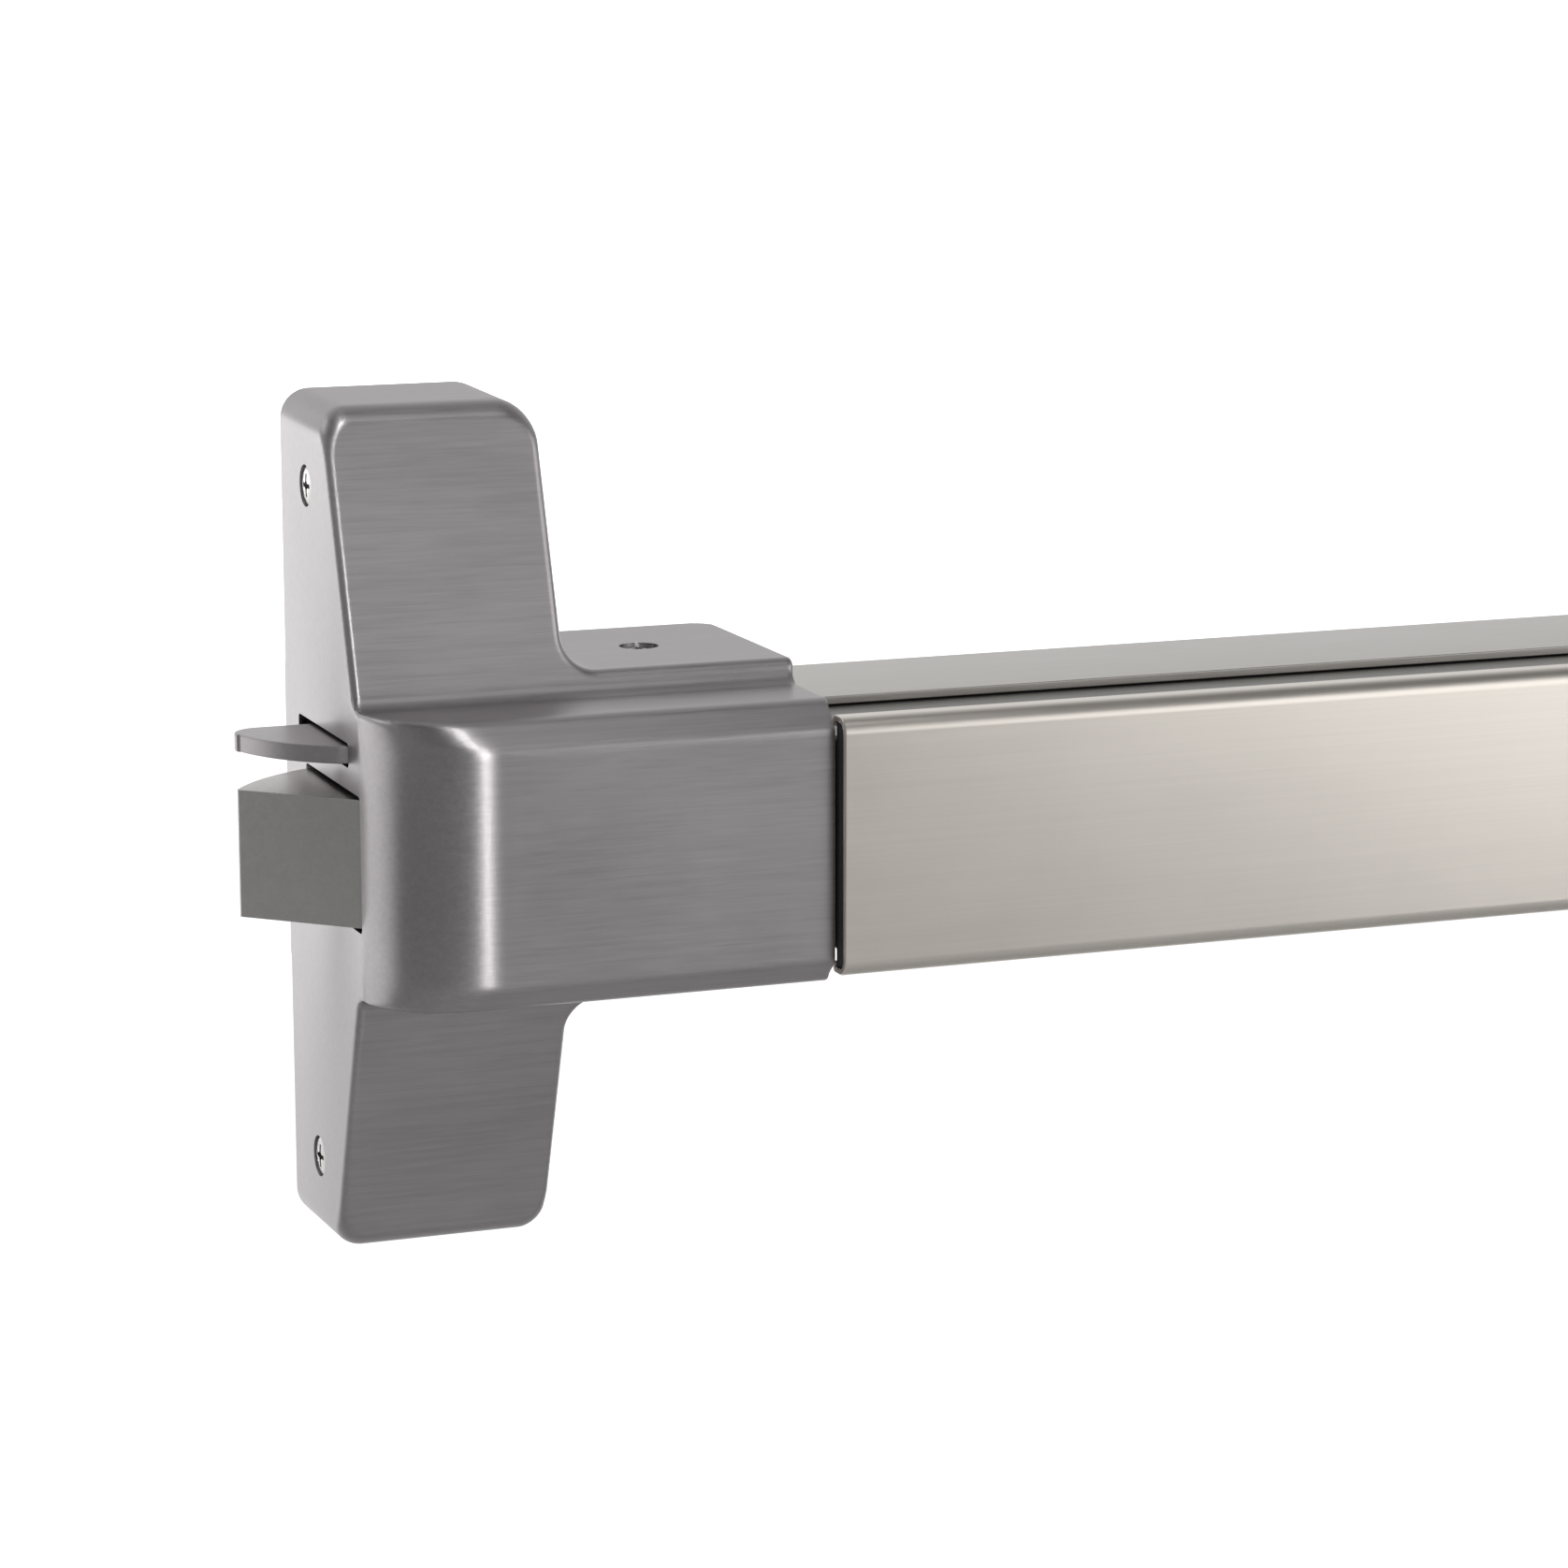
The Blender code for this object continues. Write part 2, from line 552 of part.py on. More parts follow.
def crank_bracket(label, x):
    """U bracket on the rail floor whose ears carry the crank pin."""
    floor = -RAIL_WALL - GAP
    outline = [(floor, -22.0), (-31.0, -22.0), (-31.0, -19.7), (floor - 2.5, -19.7),
               (floor - 2.5, -8.5), (-31.0, -8.5), (-31.0, -6.0), (floor, -6.0)]
    bracket = prism("crank_bracket_" + label, outline, "X", x - 8.0, x + 8.0)
    cut(bracket, rod("bore", "Z", x, CRANK_Y, 2.8, -30.0, 0.0))
    finish(bracket, ZINC)
    finish(rod("crank_pin_" + label, "Z", x, CRANK_Y, 2.5, -22.2, -5.5), STEEL)


def carrier_bracket(label, x):
    """Folded strap from the carrier back to the crank, its end turned up as the spring seat."""
    (px, py), _ = crank_points(x)
    front, seat = BAR_FRONT + BAR_SKIN + CARRIER_WALL + 2 * GAP, -26.5
    outline = [(front, -9.5), (seat, -9.5), (seat, 19.0), (seat - 2.5, 19.0), (seat - 2.5, -6.5),
               (front + 2.5, -6.5), (front + 2.5, 17.0), (front, 17.0)]
    strap = prism("carrier_bracket_" + label, outline, "X", px - 7.0, px + 7.0)
    cut(strap, prism("slot", slot_outline(px + 0.6, py, 1.2, 2.2), "Z", -12.0, -4.0))
    return finish(strap, ZINC, (px, front, -8.0))


def return_spring(label, x):
    """Coil between the rail floor and the spring seat, with its post and rubber bumper."""
    (px, _), _ = crank_points(x)
    floor = -RAIL_WALL - GAP
    spring = coil("return_spring_" + label, "Y", px, SPRING_Z, 5.6, 0.7, -26.2, floor, 5)
    finish(spring, SPRING_STEEL, (px, floor, SPRING_Z))
    post = turned("spring_post_" + label, [(4.0, floor), (4.0, -10.0), (3.0, -11.2)], "Y", px, SPRING_Z, 16)
    finish(post, ZINC)
    bumper = box("stop_bumper_" + label, px - 6.0, px + 6.0, -11.6, floor, -9.2, -0.8)
    finish(bumper, RUBBER)


def pull_rod():
    """Flat rod from the cranks to the latch peg, slotted so that the latch can also be pushed in alone."""
    px, py = tail_peg()
    near, far = ROD_Y - ROD_WIDTH / 2, ROD_Y + ROD_WIDTH / 2
    outline = [
        (px - 3.6, near), (CRANK_X[1] + 4.0, near), (CRANK_X[1] + 4.0, far),
        (px + 30.0, far), (px + 24.0, py + 6.5), (px - 3.6, py + 6.5),
    ]
    window = [(px - 2.2, py - 2.6), (px + 17.0, py - 2.6), (px + 17.0, py + 3.6), (px - 2.2, py + 3.6)]
    window = rounded(window, [1.2] * 4, steps=3)
    slots = [window]
    for x in CRANK_X:
        _, (rx, ry) = crank_points(x)
        slots.append(slot_outline(rx, ry - 0.6, 1.2, 2.2, upright=True))
    made = prism("pull_rod", outline, "Z", ROD_LOW, ROD_HIGH, slots)
    return finish(made, ZINC, (px, ROD_Y, ROD_LOW))


def rail_cover():
    """Filler over the open rail beyond the push bar."""
    half, front, clip = RAIL_HALF, -RAIL_DEPTH - GAP, RAIL_HALF - RAIL_WALL - GAP
    outline = [(front - 2.2, -half), (front, -half), (front, -clip), (-37.0, -clip), (-37.0, -clip + 1.6),
               (front, -clip + 1.6)]
    section = outline + [(y, -z) for y, z in reversed(outline)]
    return finish(prism("rail_cover", section, "X", BAR_END + 2.2, RAIL_END - 2.0), STAINLESS)


# ---------------------------------------------------------------- far end

def cap_outline(offset, left):
    """Plan of the cap at one level, (X, Y) pairs, rounded at its far front corner."""
    front, right, back = -CAP_DEPTH + offset, CAP_END - offset, 5.0
    corners = [(left, front), (right, front), (right, back), (left, back)]
    return rounded(corners, [0, CAP_RADIUS - offset, 0, 0], steps=8)


def end_cap():
    """Hollow cap over the end of the rail, open to the rail and the door."""
    top = CAP_HALF
    outer = [(-top, 3.0), (-top + 3.0, 0.0), (top - 3.0, 0.0), (top, 3.0)]
    cap = loft("end_cap", [(z, cap_outline(depth, CAP_START)) for z, depth in outer])
    hollow = [(-top + WALL, 3.6), (-top + WALL + 1.4, WALL), (top - WALL - 1.4, WALL), (top - WALL, 3.6)]
    cut(cap, loft("hollow", [(z, cap_outline(depth, CAP_START - 5)) for z, depth in hollow]))
    cut(cap, box("door_side", CAP_START - 9, CAP_END + 9, 0.0, 9.0, -50.0, 50.0))
    cut(cap, rod("holes", "Z", CAP_SCREW_X, CAP_SCREW_Y, CAP_SCREW_RADIUS + SCREW_ROOM, -50.0, 50.0))
    return finish(cap, BRUSHED)


def end_bracket():
    """Plate on the door under the end cap, with a tongue into the rail and ears for the cap screws."""
    spots = [circle(802.0, 16.0, 2.8, 14), circle(802.0, -16.0, 2.8, 14)]
    half = CAP_HALF - WALL - GAP
    bracket = prism("end_bracket", box_outline(781.5, 811.0, -half, half), "Y", -PLATE, 0.0, spots)
    union(bracket, box("tongue", 752.0, 790.0, TONGUE_Y - PLATE, TONGUE_Y, -22.0, 22.0))
    for side in (-1, 1):
        low, high = sorted((side * (half - 2.8), side * half))
        union(bracket, box("ear", 785.0, 809.0, -34.0, -1.5, low, high))
        cut(bracket, rod("ear_hole", "Z", CAP_SCREW_X, CAP_SCREW_Y, EAR_HOLE, low - 1, high + 1, 12))
        cut(bracket, rod("rail_hole", "Y", FAR_SCREW_X, side * RAIL_SCREW_Z, RAIL_HOLE, -7.0, -1.0, 12))
    return finish(bracket, ZINC)


def end_screws():
    for side, label in ((1, "upper"), (-1, "lower")):
        place = "top" if side > 0 else "bottom"
        head, tip = side * (CAP_HALF - 0.4), side * 24.0
        screw("end_cap_screw_" + place, "Z", CAP_SCREW_X, CAP_SCREW_Y, head, tip, CAP_SCREW_RADIUS)
        rail_screw("end_rail_screw_" + label, FAR_SCREW_X, side * RAIL_SCREW_Z)


def main():
    clear_scene()
    head_cover()
    head_chassis()
    cover_screws()
    latch_bolt()
    latch_pin()
    deadlatch_lever()
    latch_springs()
    base_rail()
    push_bar()
    push_bar_carrier()
    push_bar_ends()
    pull_rod()
    for label, x in zip(("left", "right"), CRANK_X):
        bell_crank(label, x)
        crank_bracket(label, x)
        carrier_bracket(label, x)
        return_spring(label, x)
    rail_cover()
    end_cap()
    end_bracket()
    end_screws()


main()
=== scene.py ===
"""Looks of the panic exit bar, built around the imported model.

Outlines are in millimetres in the model's own frame: +X along the bar, -Y towards the user, +Z up.
"""

import json
import math

import bmesh
import bpy
import numpy as np
from mathutils import Euler, Matrix, Vector

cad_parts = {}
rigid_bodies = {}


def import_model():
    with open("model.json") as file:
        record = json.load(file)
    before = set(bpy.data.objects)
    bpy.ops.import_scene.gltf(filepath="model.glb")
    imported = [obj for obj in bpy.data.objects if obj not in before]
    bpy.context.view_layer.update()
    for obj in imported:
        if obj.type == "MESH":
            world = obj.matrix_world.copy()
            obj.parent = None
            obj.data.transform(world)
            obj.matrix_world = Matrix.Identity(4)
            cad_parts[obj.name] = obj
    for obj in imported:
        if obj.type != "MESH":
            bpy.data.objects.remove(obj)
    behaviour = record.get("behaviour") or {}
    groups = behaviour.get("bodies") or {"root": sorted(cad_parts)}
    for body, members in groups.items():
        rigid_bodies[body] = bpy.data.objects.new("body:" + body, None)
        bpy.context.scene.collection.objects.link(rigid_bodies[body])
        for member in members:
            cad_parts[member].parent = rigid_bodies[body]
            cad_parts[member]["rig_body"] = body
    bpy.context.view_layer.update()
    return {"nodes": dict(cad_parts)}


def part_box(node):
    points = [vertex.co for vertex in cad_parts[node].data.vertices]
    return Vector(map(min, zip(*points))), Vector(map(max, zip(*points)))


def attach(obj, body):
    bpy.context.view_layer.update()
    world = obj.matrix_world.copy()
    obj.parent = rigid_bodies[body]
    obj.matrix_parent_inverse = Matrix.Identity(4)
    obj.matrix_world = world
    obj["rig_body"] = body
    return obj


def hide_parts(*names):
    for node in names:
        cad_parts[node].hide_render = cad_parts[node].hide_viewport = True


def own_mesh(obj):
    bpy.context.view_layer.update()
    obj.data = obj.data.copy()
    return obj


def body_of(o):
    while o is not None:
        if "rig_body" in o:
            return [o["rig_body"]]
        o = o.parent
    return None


MM = 0.001

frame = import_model()


def node_box(name):
    """Lowest and highest corner of a CAD node in millimetres."""
    low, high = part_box(name)
    return Vector(low) / MM, Vector(high) / MM


# ---------------------------------------------------------------- camera, floor and light

CAMERA_PLACE = (-0.3082, -1.0763, 0.2221)
CAMERA_YAW, CAMERA_PITCH, CAMERA_ROLL = 20.798, 11.071, 0.107
CAMERA_LENS = 109.05

FLOOR_Z = -0.6
FLOOR_SIZE = 60.0
FLOOR_PAINT = (0.55, 0.55, 0.55)
FLOOR_GLOW = ((0.0, 0.95, 0.88), (1.8, 7.0, 1.2))      # start and end of each ramp in metres, and its glow

WORLD_FRONT, WORLD_BACK, WORLD_TOP = 0.31, 0.92, -0.16
WORLD_DEPTH, WORLD_HEIGHT = (0.0, 0.85), (0.35, 0.9)   # where each ramp runs, on a sphere of radius 1


def add_camera():
    """Camera at the viewing angle: yaw to the right and pitch downward, in degrees."""
    data = bpy.data.cameras.new("camera")
    data.lens = CAMERA_LENS
    data.sensor_width = 36.0
    data.clip_end = 200.0
    camera = bpy.data.objects.new("camera", data)
    bpy.context.scene.collection.objects.link(camera)
    turn = Euler((math.radians(90 - CAMERA_PITCH), 0.0, math.radians(-CAMERA_YAW))).to_matrix().to_4x4()
    roll = Matrix.Rotation(math.radians(-CAMERA_ROLL), 4, "Z")
    camera.matrix_world = Matrix.Translation(CAMERA_PLACE) @ turn @ roll
    bpy.context.scene.camera = camera


def add_card(name, azimuth, distance, height, size, strength, elevation=0.0):
    """A soft rectangular light that faces the head's upright centre line, tilted down by its elevation.

    Its azimuth is in degrees to the right of the user's side.
    """
    data = bpy.data.lights.new(name, "AREA")
    data.shape = "RECTANGLE"
    data.size, data.size_y = size
    data.energy = strength
    card = bpy.data.objects.new(name, data)
    bpy.context.scene.collection.objects.link(card)
    turn = math.radians(azimuth)
    card.location = Vector((distance * math.sin(turn), -distance * math.cos(turn), height))
    target = Vector((0.0, 0.0, height - distance * math.tan(math.radians(elevation))))
    card.rotation_euler = (target - card.location).to_track_quat("-Z", "Z").to_euler()


def ramp(tree, value, start, end, low, high):
    """A value between start and end eased over low to high."""
    made = tree.nodes.new("ShaderNodeMapRange")
    made.interpolation_type = "SMOOTHSTEP"
    for key, number in (("From Min", start), ("From Max", end), ("To Min", low), ("To Max", high)):
        made.inputs[key].default_value = number
    tree.links.new(value, made.inputs["Value"])
    return made.outputs["Result"]


def add(tree, a, b):
    made = tree.nodes.new("ShaderNodeMath")
    tree.links.new(a, made.inputs[0])
    tree.links.new(b, made.inputs[1])
    return made.outputs[0]


def add_world():
    """Soft surroundings: bright behind the object, dimmer on the user's side and overhead."""
    world = bpy.data.worlds.new("studio")
    world.use_nodes = True
    bpy.context.scene.world = world
    tree = world.node_tree
    background = tree.nodes["Background"]
    parts = tree.nodes.new("ShaderNodeSeparateXYZ")
    tree.links.new(tree.nodes.new("ShaderNodeTexCoord").outputs["Generated"], parts.inputs[0])
    depth = ramp(tree, parts.outputs["Y"], *WORLD_DEPTH, WORLD_FRONT, WORLD_BACK)
    height = ramp(tree, parts.outputs["Z"], *WORLD_HEIGHT, 0.0, WORLD_TOP)
    tree.links.new(add(tree, depth, height), background.inputs["Strength"])
    background.inputs["Color"].default_value = (1.0, 1.0, 1.0, 1.0)


def add_floor():
    """Pale floor far below the object, which glows behind it and is grey on the user's side."""
    bm = bmesh.new()
    bmesh.ops.create_grid(bm, x_segments=8, y_segments=8, size=FLOOR_SIZE / 2)
    mesh = bpy.data.meshes.new("floor")
    bm.to_mesh(mesh)
    bm.free()
    floor = bpy.data.objects.new("floor", mesh)
    floor.location = (0.0, 0.0, FLOOR_Z)
    bpy.context.scene.collection.objects.link(floor)
    made = bpy.data.materials.new("floor_paint")
    made.use_nodes = True
    tree = made.node_tree
    shader = tree.nodes["Principled BSDF"]
    shader.inputs["Roughness"].default_value = 0.9
    shader.inputs["Specular IOR Level"].default_value = 0.0
    shader.inputs["Base Color"].default_value = (*FLOOR_PAINT, 1.0)
    shader.inputs["Emission Color"].default_value = (1.0, 1.0, 1.0, 1.0)
    parts = tree.nodes.new("ShaderNodeSeparateXYZ")
    tree.links.new(tree.nodes.new("ShaderNodeTexCoord").outputs["Object"], parts.inputs[0])
    near, far = (ramp(tree, parts.outputs["Y"], start, end, 0.0, glow) for start, end, glow in FLOOR_GLOW)
    tree.links.new(add(tree, near, far), shader.inputs["Emission Strength"])
    mesh.materials.append(made)


add_camera()
bpy.context.scene.view_settings.view_transform = "Standard"
add_world()
add_floor()
add_card("softbox_right", 45.0, 2.6, 0.5, (1.9, 2.2), 17.8)
add_card("softbox_upper", 18.0, 2.6, 1.5, (1.7, 0.9), 1.7, elevation=30.0)
add_card("softbox_over", 16.0, 0.8, 2.1, (1.4, 0.5), 3.0, elevation=69.0)
add_card("softbox_behind", -125.0, 2.4, 2.0, (1.3, 1.0), 5.0, elevation=40.0)
add_card("strip_over", -4.0, 1.3, 2.0, (0.03, 1.3), 7.5, elevation=57.0)
add_card("strip_front", -4.0, 2.4, 0.5, (0.03, 2.0), 14.0)


# ---------------------------------------------------------------- outlines and meshes

def circle(x, y, radius, steps=48, start=0.0, sweep=2 * math.pi, closed=True):
    """Points round a circle, or along an arc with both of its ends when it isn't closed."""
    count = steps if closed else steps + 1
    turns = [start + sweep * i / steps for i in range(count)]
    return [(x + radius * math.cos(a), y + radius * math.sin(a)) for a in turns]


def arc(x, y, radius, first, last, steps):
    """Points of an arc between two angles in degrees, both ends included."""
    first, last = math.radians(first), math.radians(last)
    return circle(x, y, radius, steps, first, last - first, closed=False)


def rounded(points, radii, steps=10):
    """An outline with each corner replaced by an arc of its own radius, zero leaving it sharp."""
    result = []
    for i, (point, radius) in enumerate(zip(points, radii)):
        if radius <= 0:
            result.append(tuple(point))
            continue
        here = Vector(point)
        to_before = (Vector(points[i - 1]) - here).normalized()
        to_after = (Vector(points[(i + 1) % len(points)]) - here).normalized()
        half = to_before.angle(to_after) / 2
        start = here + to_before * (radius / math.tan(half))
        end = here + to_after * (radius / math.tan(half))
        centre = here + (to_before + to_after).normalized() * (radius / math.sin(half))
        for k in range(steps + 1):
            blend = start.lerp(end, k / steps) - centre
            result.append(tuple(centre + blend.normalized() * radius))
    return result


def rectangle(u0, u1, v0, v1, radius=0.0):
    return rounded([(u0, v0), (u1, v0), (u1, v1), (u0, v1)], [radius] * 4, 6)


def place_point(axis, u, v, w):
    """A point of an outline: (Y, Z), (X, Z) or (X, Y) for an outline swept along X, Y or Z."""
    return {"X": (w, u, v), "Y": (u, w, v), "Z": (u, v, w)}[axis]


def new_object(name, bm):
    """A bmesh in millimetres made into an object in metres, its faces turned outward."""
    bmesh.ops.recalc_face_normals(bm, faces=bm.faces)
    bm.transform(Matrix.Scale(MM, 4))
    mesh = bpy.data.meshes.new(name)
    bm.to_mesh(mesh)
    bm.free()
    obj = bpy.data.objects.new(name, mesh)
    bpy.context.scene.collection.objects.link(obj)
    return obj


def prism(name, outline, axis, low, high):
    """A flat outline swept straight along one axis."""
    bm = bmesh.new()
    bottom = [bm.verts.new(place_point(axis, u, v, low)) for u, v in outline]
    top = [bm.verts.new(place_point(axis, u, v, high)) for u, v in outline]
    for i in range(len(outline)):
        bm.faces.new((bottom[i - 1], bottom[i], top[i], top[i - 1]))
    bm.faces.new(bottom[::-1])
    bm.faces.new(top)
    return new_object(name, bm)


def turned(name, profile, axis, u, v, steps=48):
    """A shape turned about a line along the axis, from (radius, position) pairs, ends closed."""
    bm = bmesh.new()
    rings = []
    for radius, w in profile:
        rings.append([bm.verts.new(place_point(axis, x, y, w)) for x, y in circle(u, v, radius, steps)])
    for low, high in zip(rings, rings[1:]):
        for i in range(steps):
            bm.faces.new((low[i - 1], low[i], high[i], high[i - 1]))
    bm.faces.new(rings[0])
    bm.faces.new(rings[-1])
    return new_object(name, bm)


def cut(target, *cutters):
    """Takes every cutter out of the target in one Boolean and removes them."""
    group = bpy.data.collections.new("cutters")
    for cutter in cutters:
        group.objects.link(cutter)
    modifier = target.modifiers.new("cut", "BOOLEAN")
    modifier.operation = "DIFFERENCE"
    modifier.solver = "EXACT"
    modifier.operand_type = "COLLECTION"
    modifier.collection = group
    bpy.context.view_layer.update()
    evaluated = target.evaluated_get(bpy.context.evaluated_depsgraph_get())
    result = bpy.data.meshes.new_from_object(evaluated)
    target.modifiers.clear()
    target.data = result
    for cutter in cutters:
        bpy.data.objects.remove(cutter, do_unlink=True)
    bpy.data.collections.remove(group)


def ease_edges(obj, width, segments=3, angle=38.0):
    """Rounds every sharp edge by a width in millimetres."""
    modifier = obj.modifiers.new("edges", "BEVEL")
    modifier.width = width * MM
    modifier.segments = segments
    modifier.limit_method = "ANGLE"
    modifier.angle_limit = math.radians(angle)
    modifier.harden_normals = False
    return modifier


def shade(obj, angle=40.0):
    obj.data.shade_smooth()
    obj.data.set_sharp_from_angle(angle=math.radians(angle))


# ---------------------------------------------------------------- shapes from distance fields

def soft_and(a, b, radius):
    """The common part of two solids, its outer edge rounded."""
    u, v = np.maximum(radius + a, 0.0), np.maximum(radius + b, 0.0)
    return np.minimum(-radius, np.maximum(a, b)) + np.hypot(u, v)


def soft_or(a, b, radius):
    """Two solids together, the corner between them filled with a fillet."""
    u, v = np.maximum(radius - a, 0.0), np.maximum(radius - b, 0.0)
    return np.maximum(radius, np.minimum(a, b)) - np.hypot(u, v)


PLANE_PULL = 0.01        # how strongly a mesh point keeps to the middle of its cell's crossings


def smooth_step(value, low, high):
    t = np.clip((value - low) / (high - low), 0.0, 1.0)
    return t * t * (3.0 - 2.0 * t)


def gradient(field, points, step=0.02):
    columns = []
    for axis in range(3):
        shift = np.zeros(3)
        shift[axis] = step
        columns.append((field(*(points + shift).T) - field(*(points - shift).T)) / (2 * step))
    return np.stack(columns, axis=1)


def crossings(field, low, high, halvings=9):
    """Where the field is zero between pairs of points, the first of each pair inside the solid."""
    for _ in range(halvings):
        middle = (low + high) / 2
        inside = (field(*middle.T) < 0)[:, None]
        low, high = np.where(inside, middle, low), np.where(inside, high, middle)
    return (low + high) / 2


def graded(low, high, coarse, fine, bands):
    """Grid positions past both ends, closer together within each band."""
    places = [low - 1.5 * fine]
    while places[-1] < high + fine:
        in_band = any(start <= places[-1] < stop for start, stop in bands)
        places.append(places[-1] + (fine if in_band else coarse))
    return np.array(places)


def crossed_edges(inside, axis):
    """Grid edges along one axis that cross the surface, and whether each one runs into the solid."""
    order = (axis, (axis + 1) % 3, (axis + 2) % 3)
    side = inside.transpose(order)
    before, after = side[:-1, 1:-1, 1:-1], side[1:, 1:-1, 1:-1]
    i, j, k = np.nonzero(before != after)
    return order, i, j, k, after[i, j, k]


def edge_ends(axes, order, i, j, k, into):
    """Both ends of crossed edges, the end within the solid first."""
    low, high = np.zeros((len(i), 3)), np.zeros((len(i), 3))
    for line, first, last in ((order[0], i, i + 1), (order[1], j + 1, j + 1), (order[2], k + 1, k + 1)):
        low[:, line] = axes[line][np.where(into, last, first)]
        high[:, line] = axes[line][np.where(into, first, last)]
    return low, high


def surface_of(name, field, axes):
    """Mesh of the surface where a field is zero, with one point in each crossed cell.

    The point lies where the planes meet that touch the surface on the cell's edges, so edges stay crisp.
    """
    inside = field(*np.meshgrid(*axes, indexing="ij")) < 0
    corners = np.zeros([len(a) - 1 for a in axes], int)
    for i, j, k in np.ndindex(2, 2, 2):
        corners += inside[i:len(axes[0]) - 1 + i, j:len(axes[1]) - 1 + j, k:len(axes[2]) - 1 + k]
    active = (corners > 0) & (corners < 8)
    count = active.sum()
    index = np.full(active.shape, -1)
    index[active] = np.arange(count)
    planes, right, centre = np.zeros((count, 3, 3)), np.zeros((count, 3)), np.zeros((count, 3))
    number = np.zeros(count)
    quads = []
    for axis in range(3):
        order, i, j, k, into = crossed_edges(inside, axis)
        cells = index.transpose(order)
        around = [cells[i, j, k], cells[i, j + 1, k], cells[i, j + 1, k + 1], cells[i, j, k + 1]]
        quad = np.stack(around, axis=1)
        touch = crossings(field, *edge_ends(axes, order, i, j, k, into))
        normal = gradient(field, touch)
        normal /= np.linalg.norm(normal, axis=1)[:, None]
        for cell in quad.T:
            np.add.at(planes, cell, normal[:, :, None] * normal[:, None, :])
            np.add.at(right, cell, normal * (normal * touch).sum(axis=1)[:, None])
            np.add.at(centre, cell, touch)
            np.add.at(number, cell, 1.0)
        quad[into] = quad[into][:, ::-1]
        quads.append(quad)
    pull = PLANE_PULL * number[:, None]
    planes += pull[:, :, None] * np.eye(3)
    right += pull * centre / number[:, None]
    points = np.linalg.solve(planes, right[:, :, None])[:, :, 0]
    places = np.argwhere(active)
    for a in range(3):
        points[:, a] = np.clip(points[:, a], axes[a][places[:, a]], axes[a][places[:, a] + 1])
    mesh = bpy.data.meshes.new(name)
    mesh.from_pydata(points * MM, [], np.concatenate(quads).tolist())
    mesh.validate()
    obj = bpy.data.objects.new(name, mesh)
    bpy.context.scene.collection.objects.link(obj)
    return obj


# ---------------------------------------------------------------- materials

def add_node(tree, kind, **values):
    """A shader node with its inputs set by name, underscores standing for spaces."""
    made = tree.nodes.new(kind)
    for key, value in values.items():
        made.inputs[key.replace("_", " ")].default_value = value
    return made


def noise(tree, coords, scale, detail=4.0, roughness=0.6):
    """Noise stretched by a different scale along each axis."""
    mapping = add_node(tree, "ShaderNodeMapping", Scale=scale)
    tree.links.new(coords, mapping.inputs["Vector"])
    made = add_node(tree, "ShaderNodeTexNoise", Scale=1.0, Detail=detail, Roughness=roughness)
    tree.links.new(mapping.outputs["Vector"], made.inputs["Vector"])
    return made.outputs["Fac"]


def spread(tree, value, low, high, start=0.25, end=0.75):
    """A value between start and end spread over low to high."""
    made = add_node(tree, "ShaderNodeMapRange", From_Min=start, From_Max=end, To_Min=low, To_Max=high)
    tree.links.new(value, made.inputs["Value"])
    return made.outputs["Result"]


def multiply(tree, a, b):
    made = tree.nodes.new("ShaderNodeMath")
    made.operation = "MULTIPLY"
    tree.links.new(a, made.inputs[0])
    tree.links.new(b, made.inputs[1])
    return made.outputs[0]


CLOUDING = (22.0, 30.0, 30.0)


def metal(name, colour, roughness, grain=(70.0, 2200.0, 2200.0), streaks=0.10, clouds=0.06, bump=0.12,
          anisotropy=0.0, wear=0.0, uneven=0.05):
    """Metal with a directional grain, clouding and worn edges; the grain is a noise scale for each axis."""
    made = bpy.data.materials.new(name)
    made.use_nodes = True
    tree = made.node_tree
    shader = tree.nodes["Principled BSDF"]
    shader.inputs["Metallic"].default_value = 1.0
    shader.inputs["Anisotropic"].default_value = anisotropy
    coords = tree.nodes.new("ShaderNodeTexCoord").outputs["Object"]
    fine = noise(tree, coords, grain)
    wide = noise(tree, coords, tuple(0.35 * g for g in grain), detail=2.0)
    cloud = noise(tree, coords, CLOUDING, detail=3.0, roughness=0.5)
    streak = spread(tree, fine, 1.0 - streaks, 1.0 + streaks)
    broad = spread(tree, wide, 1.0 - 0.6 * streaks, 1.0 + 0.6 * streaks)
    patch = spread(tree, cloud, 1.0 - clouds, 1.0 + clouds)
    shade_value = multiply(tree, multiply(tree, streak, broad), patch)
    geometry = tree.nodes.new("ShaderNodeNewGeometry")
    edge = spread(tree, geometry.outputs["Pointiness"], 1.0, 1.0 + wear, 0.52, 0.62)
    bright = multiply(tree, shade_value, edge)
    tint = tree.nodes.new("ShaderNodeVectorMath")
    tint.operation = "SCALE"
    tint.inputs[0].default_value = colour
    tree.links.new(bright, tint.inputs["Scale"])
    tree.links.new(tint.outputs[0], shader.inputs["Base Color"])
    gloss = spread(tree, fine, roughness - uneven, roughness + uneven)
    dull = spread(tree, cloud, 0.94, 1.06)
    tree.links.new(multiply(tree, gloss, dull), shader.inputs["Roughness"])
    relief = add_node(tree, "ShaderNodeBump", Strength=bump, Distance=0.0002)
    tree.links.new(fine, relief.inputs["Height"])
    tree.links.new(relief.outputs["Normal"], shader.inputs["Normal"])
    if anisotropy:
        tangent = tree.nodes.new("ShaderNodeTangent")
        tangent.direction_type = "RADIAL"
        tangent.axis = "X"
        tree.links.new(tangent.outputs[0], shader.inputs["Tangent"])
    return made


